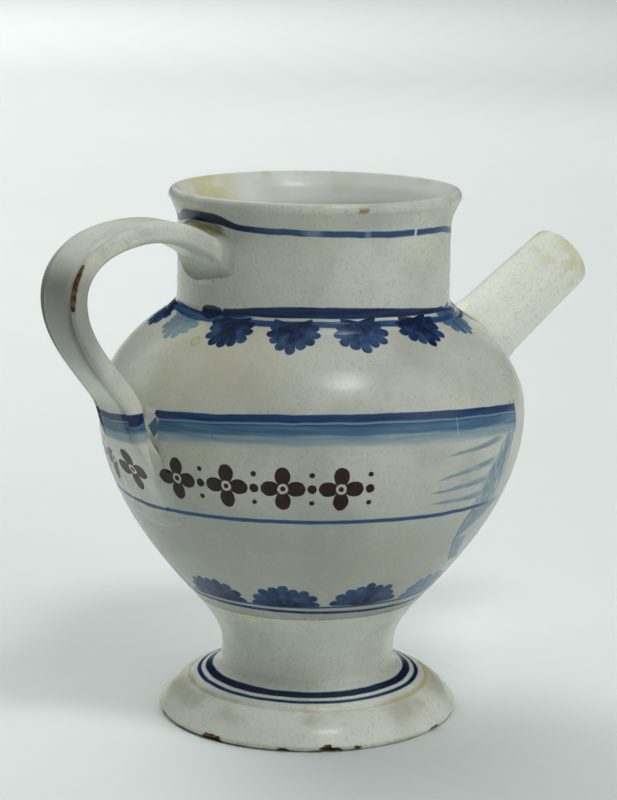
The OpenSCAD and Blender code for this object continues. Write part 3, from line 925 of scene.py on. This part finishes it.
def neck_foot(f):
    """The broad band at the foot of the neck, with the crease showing white through it."""
    away = f.from_spout.most(46)
    bow = (away - 128) / 68
    z = f.z + (f.noise(12) - 0.5) * 0.8
    crease_z = CREASE_Z - bow * bow * 1.9
    full_top_z = BAND_TOP_Z - bow * bow * 4.6 - away.ramp(138, 164) * 1.0
    narrow = (away + (1 - f.near_side) * 30).ramp(167, 168.6)
    top_z = full_top_z + narrow * (crease_z + 0.5 - full_top_z)
    band = (top_z - z).ramp(-0.3, 0.3) * (z - crease_z).ramp(-2.6, -2.1)
    gap = (z - crease_z).near(0.1, 0.55, 0.2) * away.ramp(160, 150)
    above = (z - crease_z).ramp(-0.3, 0.3)
    thick = 0.5 + 0.18 * above + 0.45 * streaks(f)
    blot_across = (f.angle + 174.5) / 6.5
    blot_up = (z - crease_z - 0.9) / 2.5
    blot_off = blot_across.hypot(blot_up) + (f.noise(4) - 0.5) * 0.5
    blot = blot_off.ramp(1.1, 0.85) * f.near_side
    return (band * (1 - gap) * thick).most(blot * 0.95) * f.radius.ramp(60, 58) * f.radius.ramp(48, 49)


THICK_LINE_R, THIN_LINE_R = 37.8, 41.6


def foot_lines(f):
    thick_line = line(f, f.radius - THICK_LINE_R, 1.3, 0.35, 0.8) * (0.85 + 0.3 * f.noise(18))
    thin_line = line(f, f.radius - THIN_LINE_R, 0.7, 0.35, 0.7) * (0.55 + 0.7 * f.noise(25))
    return thick_line.most(thin_line) * f.z.ramp(12.4, 12.9) * f.z.ramp(20, 19)


# Wear in the glaze

# Size of the cells between cracks, and how far and over what length the cracks bend
CRACK_CELL, CRACK_BEND, CRACK_BEND_RUN = 6.0, 6.0, 9.0


def specks_of(f, cell, size, share):
    """Round specks in a share of the cells, with the sizes of both in millimetres."""
    cells = f.node("ShaderNodeTexVoronoi", {}, {"Vector": f.place, "Scale": 1 / (cell * MM)})
    dist = Wire(f, cells.outputs["Distance"]) * cell
    picked = f.value("ShaderNodeSeparateColor", {}, {0: Wire(f, cells.outputs["Color"])})
    return dist.ramp(size, size * 0.4) * picked.ramp(1 - share, 1.02 - share)


def pinholes(f):
    """A few dark pits and many fine specks."""
    return specks_of(f, 7.0, 0.42, 0.17).most(specks_of(f, 2.6, 0.24, 0.3) * 0.55)


def crackle(f):
    """A net of fine cracks, in patches."""
    bent = f.value("ShaderNodeTexNoise", {},
                   {"Vector": f.place, "Scale": 1 / (CRACK_BEND_RUN * MM), "Detail": 2.0}, "Color")
    moved = f.value("ShaderNodeVectorMath", {"operation": "MULTIPLY_ADD"},
                    {0: bent, 1: (CRACK_BEND * MM,) * 3, 2: f.place})
    edge = f.value("ShaderNodeTexVoronoi", {"feature": "DISTANCE_TO_EDGE"},
                   {"Vector": moved, "Scale": 1 / (CRACK_CELL * MM)}) * CRACK_CELL
    patches = f.noise(38, 1.0).ramp(0.4, 0.58)
    return edge.ramp(0.1, 0.02) * patches


GLAZE_WHITE = tint(0.53, 0.555, 0.49)
GLAZE_GREY = tint(0.43, 0.455, 0.405)
GLAZE_CREAM = tint(0.52, 0.515, 0.39)
# Painted shade: a darker glaze colour for the lower belly, which faces down away from the light
LOW_PAINTED_SHADE = tint(0.375, 0.39, 0.345)
# Painted light: a whiter glaze colour for the inside of the neck, standing in for light falling into the
# mouth
INSIDE_PAINTED_LIGHT = tint(0.74, 0.78, 0.74)
GLAZE_GRAIN = tint(0.30, 0.30, 0.245)
CRACK_BROWN = tint(0.30, 0.25, 0.17)
SPECK = tint(0.06, 0.045, 0.03)
CLAY = tint(0.20, 0.11, 0.045)
CLAY_DARK = tint(0.055, 0.03, 0.014)
BLUES = [(0.0, tint(0.45, 0.52, 0.54)), (0.22, tint(0.25, 0.345, 0.375)),
         (0.45, tint(0.09, 0.185, 0.28)), (0.7, tint(0.036, 0.083, 0.19)),
         (0.88, tint(0.018, 0.04, 0.11)), (1.0, tint(0.010, 0.018, 0.05))]
BROWNS = [(0.0, tint(0.40, 0.33, 0.30)), (0.3, tint(0.16, 0.085, 0.07)),
          (0.6, tint(0.045, 0.019, 0.015)), (1.0, tint(0.013, 0.006, 0.006))]
GLAZE_IOR, GLAZE_SPECULAR = 1.5, 0.25
BUMP_STRENGTH, BUMP_DEPTH = 0.22, 0.35


def glaze(name, tone, blue_layers=(), brown_layer=None, stains_and_painted_light=None, bare=False, one_side=False):
    """Tin glaze with its stained patches and painted light, the layers of painting over them and bare
    clay in the chips.
    """
    f = Finish(name)
    # The tone brightens the glaze of a piece: partly a whiter glaze, partly painted light for how much
    # light reaches the piece
    white, grey, cream, dull = (tint(*(c * tone for c in colour[:3]))
                                for colour in (GLAZE_WHITE, GLAZE_GREY, GLAZE_CREAM, GLAZE_GRAIN))
    mottle = f.noise(34, 3.0)
    base = f.mix(white, grey, mottle.ramp(0.42, 0.68))
    base = f.mix(base, cream, f.noise(52, 2.0, (1, 1, 1.4)).ramp(0.52, 0.72) * 0.55)
    base = f.mix(base, dull, f.noise(1.3, 3.0).ramp(0.5, 0.72) * 0.3)
    cracks = crackle(f)
    base = f.mix(base, CRACK_BROWN, cracks * 0.26)
    if stains_and_painted_light:
        for colour, share in stains_and_painted_light(f):
            base = f.mix(base, colour, share)
    colour = base
    painted = 1.0
    if one_side:
        painted = f.value("ShaderNodeAttribute", {"attribute_name": "painted_side"}, {}, "Fac")
    if blue_layers:
        blue = blue_layers[0](f)
        for layer in blue_layers[1:]:
            blue = blue.most(layer(f))
        blue = blue * painted
        pigment = f.value("ShaderNodeValToRGB", {"stops": BLUES}, {0: blue})
        colour = f.mix(colour, pigment, blue.ramp(0.0, 0.16))
    if brown_layer:
        brown = brown_layer(f) * painted
        pigment = f.value("ShaderNodeValToRGB", {"stops": BROWNS}, {0: brown})
        colour = f.mix(colour, pigment, brown.ramp(0.0, 0.2))
    specks = pinholes(f)
    colour = f.mix(colour, SPECK, specks * 0.75)
    peel = f.noise(5.5, 2.0)
    height = peel * 0.5 - specks * 0.6 - cracks * 0.12
    rough = 0.2 + 0.12 * f.noise(20, 3.0) + specks * 0.3
    if bare:
        chip = f.value("ShaderNodeAttribute", {"attribute_name": "bare_clay"}, {}, "Fac")
        grain = f.noise(1.6, 4.0)
        broken = (chip + (grain - 0.5) * 0.35).ramp(0.32, 0.5)
        clay = f.mix(CLAY, CLAY_DARK, f.noise(2.6, 3.0).ramp(0.38, 0.6))
        colour = f.mix(colour, clay, broken)
        rough = rough + broken * 0.6
        height = height + broken * (grain - 0.5) * 2.2
    bump = f.value("ShaderNodeBump", {},
                   {"Strength": BUMP_STRENGTH, "Distance": BUMP_DEPTH * MM, "Height": height})
    shader = f.node("ShaderNodeBsdfPrincipled", {},
                    {"Base Color": colour, "Roughness": rough, "Normal": bump,
                     "IOR": GLAZE_IOR, "Specular IOR Level": GLAZE_SPECULAR})
    f.node("ShaderNodeOutputMaterial", {}, {"Surface": Wire(f, shader.outputs[0])})
    return f.material


STAIN_OCHRE = tint(0.47, 0.38, 0.16)
STAIN_OLIVE = tint(0.38, 0.345, 0.15)
STAIN_KHAKI = tint(0.42, 0.40, 0.30)
STAIN_PALE_YELLOW = tint(0.62, 0.60, 0.30)
STAIN_PALE_OCHRE = tint(0.55, 0.49, 0.33)
CHIP_TAN = tint(0.30, 0.20, 0.09)
# Painted shade: a grey for the outer face of the strap's bend, which turns away from the light
PAINTED_SHADE_GREY = tint(0.24, 0.25, 0.22)
# Painted highlight: a near white for the lumps of glaze beside the strap, as if they caught the light
LUMP_PAINTED_HIGHLIGHT = tint(0.80, 0.81, 0.73)


def foot_stains(f):
    ring = f.radius.near(45.4, 0.8, 0.7) * f.z.near(12.4, 1.0, 0.5) * f.noise(30).ramp(0.35, 0.6)
    top = f.radius.near(49.5, 3.5, 2.5) * f.z.ramp(3, 5) * f.noise(26, 3.0).ramp(0.45, 0.65)
    edge = f.z.ramp(2.6, 0.4) * f.noise(7, 3.0).ramp(0.45, 0.62)
    return [(STAIN_OCHRE, ring * 0.65), (STAIN_KHAKI, top * 0.6), (STAIN_KHAKI, edge * 0.7)]


def bowl_stains_and_painted_light(f):
    # Painted shade: darker towards the bottom of the belly, where it faces down away from the light
    low = f.z.ramp(112, 70) * (0.3 + 0.45 * f.noise(30))
    cream = f.angle.near(-160, 24, 16) * f.z.ramp(128, 140) * (0.3 + 0.6 * f.noise(18, 3.0))
    ring_across = (f.angle + 171) * 1.08
    ring_up = (f.z - 149.5) * 1.3
    ring = (ring_across.hypot(ring_up) + (f.noise(3) - 0.5)).near(1.5, 0.4, 0.4)
    # Painted highlights: light speckles beside the strap stand in for lumps of glaze catching the light
    beside_strap = (180 - f.from_spout).ramp(8.5, 7.0) * f.z.near(122, 5.0, 1.2)
    lump_highlights = beside_strap * f.noise(2.6, 2.0).ramp(0.3, 0.55)
    return [(LOW_PAINTED_SHADE, low), (GLAZE_CREAM, cream), (STAIN_OCHRE, ring * 0.8), (LUMP_PAINTED_HIGHLIGHT, lump_highlights * 0.85)]


def neck_stains_and_painted_light(f):
    from_handle = 180 - f.from_spout
    wall_middle = NECK_R - NECK_WALL / 2 + (f.z - LIP_START_Z).most(0) * 0.32
    inner = (wall_middle - f.radius).ramp(-0.4, 0.4)
    pool = from_handle.ramp(15, 10) * f.z.ramp(177, 179) * f.z.ramp(191.5, 190) * (1 - inner)
    under = pool * (0.55 + 0.45 * f.noise(7, 3.0).ramp(0.35, 0.6))
    flare = from_handle.ramp(15, 9) * f.z.near(194.4, 1.2, 0.9) * f.radius.ramp(51.2, 51.8)
    flare = flare * f.noise(5, 3.0).ramp(0.36, 0.56)
    rim = f.z.ramp(197.4, 199.2) * f.noise(10, 4.0).ramp(0.53, 0.68)
    chip = f.angle.near(-110, 5.5, 2.0) * f.z.near(197.6, 0.9, 0.7) * f.noise(3.5, 3.0).ramp(0.4, 0.56)
    pale = f.angle.near(118, 26, 12) * f.z.ramp(176, 186) * f.noise(16, 3.0).ramp(0.34, 0.5) * inner
    within = f.z.ramp(182, 194) * f.noise(20, 3.0).ramp(0.5, 0.66) * inner
    # Painted light: the inside of the neck is whitened as if light fell into the mouth; the other colours
    # are stains and a chip
    return [(INSIDE_PAINTED_LIGHT, inner * 0.8), (STAIN_OLIVE, under.most(flare) * 0.8),
            (STAIN_OCHRE, rim * 0.35), (STAIN_PALE_OCHRE, within * 0.3),
            (STAIN_PALE_YELLOW, pale * 0.8), (CHIP_TAN, chip * 0.9)]


def spout_stains(f):
    along = (SPOUT_REACH - f.x) * SPOUT_AXIS.x + (SPOUT_TIP_Z - f.z) * SPOUT_AXIS.z
    tip = along.ramp(9, 1) * f.noise(9, 3.0).ramp(0.28, 0.62)
    patches = along.ramp(26, 8) * f.noise(8, 3.0).ramp(0.54, 0.66)
    return [(STAIN_PALE_YELLOW, tip * 0.75), (STAIN_PALE_YELLOW, patches * 0.5)]


def handle_stains_and_painted_shade(f):
    grime = f.noise(16, 3.0).ramp(0.5, 0.7)
    # Painted shade: the outer face of the strap's bend darkens where it turns away from the light
    outer_face_shade = f.x.ramp(-96, -108) * f.z.ramp(184, 172)
    return [(GLAZE_GREY, grime * 0.5), (PAINTED_SHADE_GREY, outer_face_shade * 0.75)]


# Tones per piece: the higher ones on the spout and the foot are partly a whiter glaze and partly painted
# light
foot_glaze = glaze("foot_tin_glaze", 1.42, [foot_lines, low_lines], None, foot_stains, bare=True)
bowl_layers = [upper_palmettes, lower_palmettes, low_lines, scroll, scroll_foot, scroll_end, neck_foot]
bowl_glaze = glaze("painted_tin_glaze", 1.1, bowl_layers, rosettes, bowl_stains_and_painted_light, one_side=True)
neck_glaze = glaze("neck_tin_glaze", 1.2, [neck_stripe, neck_foot], None, neck_stains_and_painted_light)
spout_glaze = glaze("spout_tin_glaze", 1.5, [], None, spout_stains)
strap_layers = [scroll_head, strap_blot, scroll_foot]
handle_glaze = glaze("handle_tin_glaze", 1.25, strap_layers, rosettes, handle_stains_and_painted_shade, bare=True)
pressed_glaze = glaze("pressed_clay_tin_glaze", 1.15, [scroll_foot], rosettes)


# The pieces

def dress(piece, node, material):
    piece.data.materials.clear()
    piece.data.materials.append(material)
    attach(piece, "root")
    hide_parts(node)


def make_spout():
    piece = turned("spout_piece", spout_outline(), SPOUT_STEPS)
    turn = Matrix.Rotation(math.pi / 2 - SPOUT_RISE, 4, "Y")
    piece.data.transform(Matrix.Translation(SPOUT_TIP * MM) @ turn)
    return piece


# The drill for the hole behind the spout: its length, and how far before the spout's end it starts
DRILL_L, DRILL_START = 40.0, 13.0


def bore_bowl(bowl):
    """Drills the hole behind the spout through the wall of the bowl."""
    start_fresh()
    middle = SPOUT_TIP - SPOUT_AXIS * (SPOUT_END_S - DRILL_START + DRILL_L / 2)
    bpy.ops.mesh.primitive_cylinder_add(vertices=64, radius=SPOUT_BORE_R * MM, depth=DRILL_L * MM,
                                        location=middle * MM,
                                        rotation=(0, math.pi / 2 - SPOUT_RISE, 0))
    cutter = bpy.context.object
    drill = bowl.modifiers.new("spout_hole", "BOOLEAN")
    drill.object = cutter
    drill.operation = "DIFFERENCE"
    drill.solver = "EXACT"
    bpy.context.view_layer.objects.active = bowl
    bpy.ops.object.modifier_apply(modifier=drill.name)
    bpy.data.objects.remove(cutter)


# Where the luted pieces meet the vessel: the spout this far before its end, the strap at these heights
SPOUT_SEAT, ROOT_MEET_Z, TAIL_MEET_Z = 3.3, 180.3, 103.0

foot = turned("foot_piece", foot_outline(), ROUND_STEPS)
bowl = turned("bowl_piece", bowl_outline(), ROUND_STEPS)
bore_bowl(bowl)
neck = turned("neck_piece", neck_outline(), ROUND_STEPS)
ridge = turned("neck_ridge", ridge_outline(), ROUND_STEPS)
spout = make_spout()
strap_rings = [[clear_of_bore(p) for p in strap_ring(i)] for i in range(len(STRAP_PATH))]
handle = pulled("strap_handle", strap_rings, joined=False)
spout_meet_z = SPOUT_TIP_Z - (SPOUT_END_S - SPOUT_SEAT) * SPOUT_AXIS.z
spout_pressed = pressed("spout_pressed_clay", bowl_radius, inside_spout, spout_meet_z, lift=0.12,
                        facing=0.0, rise=5.0, reach=6.0)
root_pressed = pressed("handle_root_pressed_clay", neck_radius, inside_strap, ROOT_MEET_Z, lift=0.78,
                       facing=math.pi, rise=3.4, reach=4.0, sag=0.5, climb=0.4, far=3.2)
tail_pressed = pressed("handle_tail_pressed_clay", bowl_radius, inside_strap, TAIL_MEET_Z, lift=3.0,
                       facing=math.pi, rise=2.6, reach=5.0, sag=1.5, climb=-1.6)

mark_painted_side(bowl, bowl_radius)
mark_painted_side(ridge)
mark_painted_side(spout_pressed)
chip_foot(foot)
chip_handle(handle)
lump_tail(tail_pressed)
for piece in (foot, bowl, neck, ridge, spout, handle, spout_pressed, root_pressed, tail_pressed):
    hand_made(piece)

dress(foot, "pedestal_foot", foot_glaze)
dress(bowl, "bowl", bowl_glaze)
dress(neck, "neck_collar", neck_glaze)
dress(ridge, "neck_seam_ring", bowl_glaze)
dress(spout, "spout", spout_glaze)
dress(spout_pressed, "spout_lute", bowl_glaze)
dress(handle, "handle", handle_glaze)
dress(root_pressed, "handle_upper_lute", neck_glaze)
dress(tail_pressed, "handle_lower_lute", pressed_glaze)


# Floor, light and camera

FLOOR_SIZE = 60.0
PAPER_PALE, PAPER_GREY = tint(0.765, 0.815, 0.80), tint(0.745, 0.795, 0.78)


def make_floor():
    """A pale floor, wide enough to fill the view."""
    start_fresh()
    bpy.ops.mesh.primitive_plane_add(size=FLOOR_SIZE, location=(0, 0, 0))
    floor = bpy.context.object
    floor.name = "pale_floor"
    paper = Finish("pale_paper")
    tone = paper.mix(PAPER_PALE, PAPER_GREY, paper.noise(180, 2.0))
    shader = paper.node("ShaderNodeBsdfPrincipled", {}, {"Base Color": tone, "Roughness": 0.75})
    paper.node("ShaderNodeOutputMaterial", {}, {"Surface": Wire(paper, shader.outputs[0])})
    floor.data.materials.append(paper.material)


def make_light(name, place, aim, size, power, mirrored=True):
    """A soft panel of light. One that isn't mirrored leaves no reflection in the glaze."""
    light = bpy.data.lights.new(name, "AREA")
    light.shape = "RECTANGLE"
    light.size, light.size_y = size
    light.energy = power
    lamp = bpy.data.objects.new(name, light)
    lamp.location = place
    lamp.visible_glossy = mirrored
    lamp.rotation_euler = (Vector(aim) - Vector(place)).to_track_quat("-Z", "Y").to_euler()
    bpy.context.scene.collection.objects.link(lamp)


CAMERA_PLACE = Vector((-554.8, -708.6, 306.2)) * MM
CAMERA_DOWN, CAMERA_SIDE, CAMERA_ROLL = math.radians(11.73), math.radians(38), math.radians(0.71)
CAMERA_LENS = 109.9


def make_camera():
    forward = Vector((math.cos(CAMERA_DOWN) * math.sin(CAMERA_SIDE),
                      math.cos(CAMERA_DOWN) * math.cos(CAMERA_SIDE), -math.sin(CAMERA_DOWN)))
    right = Vector((math.cos(CAMERA_SIDE), -math.sin(CAMERA_SIDE), 0))
    up = right.cross(forward)
    rolled_right = right * math.cos(CAMERA_ROLL) + up * math.sin(CAMERA_ROLL)
    rolled_up = up * math.cos(CAMERA_ROLL) - right * math.sin(CAMERA_ROLL)
    lens = bpy.data.cameras.new("camera")
    lens.lens = CAMERA_LENS
    lens.sensor_width = 36.0
    camera = bpy.data.objects.new("camera", lens)
    bpy.context.scene.collection.objects.link(camera)
    turn = Matrix((rolled_right, rolled_up, -forward)).transposed()
    camera.matrix_world = Matrix.Translation(CAMERA_PLACE) @ turn.to_4x4()
    bpy.context.scene.camera = camera


SKY_TINT, SKY_STRENGTH = tint(0.80, 0.86, 0.86), 0.01


def make_world():
    world = bpy.data.worlds.new("studio")
    world.use_nodes = True
    backdrop = world.node_tree.nodes["Background"]
    backdrop.inputs["Color"].default_value = SKY_TINT
    backdrop.inputs["Strength"].default_value = SKY_STRENGTH
    bpy.context.scene.world = world
    bpy.context.scene.view_settings.view_transform = "Standard"


make_floor()
make_light("key_softbox", (-0.15, -0.80, 1.555), (0, 0, 0.12), (0.4, 0.3), 7.8)
make_light("top_softbox", (0.1, 0.25, 2.2), (0, 0, 0.1), (1.1, 1.1), 4)
make_light("right_softbox", (1.2, -2.0, 1.5), (0, 0, 0.12), (1.8, 1.8), 15.5)
make_light("front_softbox", (0.1, -2.2, 1.0), (0, 0, 0.12), (1.4, 1.0), 7, mirrored=False)
make_light("top_left_softbox", (-0.55, 0.35, 2.1), (-0.55, 0.35, 0), (0.9, 0.9), 3.2, mirrored=False)
make_light("left_floor_light", (0.1, 0.95, 1.3), (0.1, 0.95, 0), (0.6, 0.6), 4.0, mirrored=False)
make_light("right_rear_softbox", (1.9, 1.5, 1.5), (0, 0, 0.15), (1.4, 1.4), 8, mirrored=False)
make_light("left_backdrop_light", (-0.5, 2.2, 1.9), (0.3, 1.5, 0), (1.6, 1.6), 20, mirrored=False)
make_light("near_backdrop_light", (1.9, 3.0, 2.4), (1.9, 3.0, 0), (4.0, 3.0), 38, mirrored=False)
make_light("far_backdrop_light", (0.9, 5.0, 2.6), (0.9, 5.0, 0), (3.0, 3.0), 98, mirrored=False)
make_light("last_backdrop_light", (4.4, 5.8, 2.6), (4.4, 5.8, 0), (4.0, 4.0), 68, mirrored=False)
make_camera()
make_world()
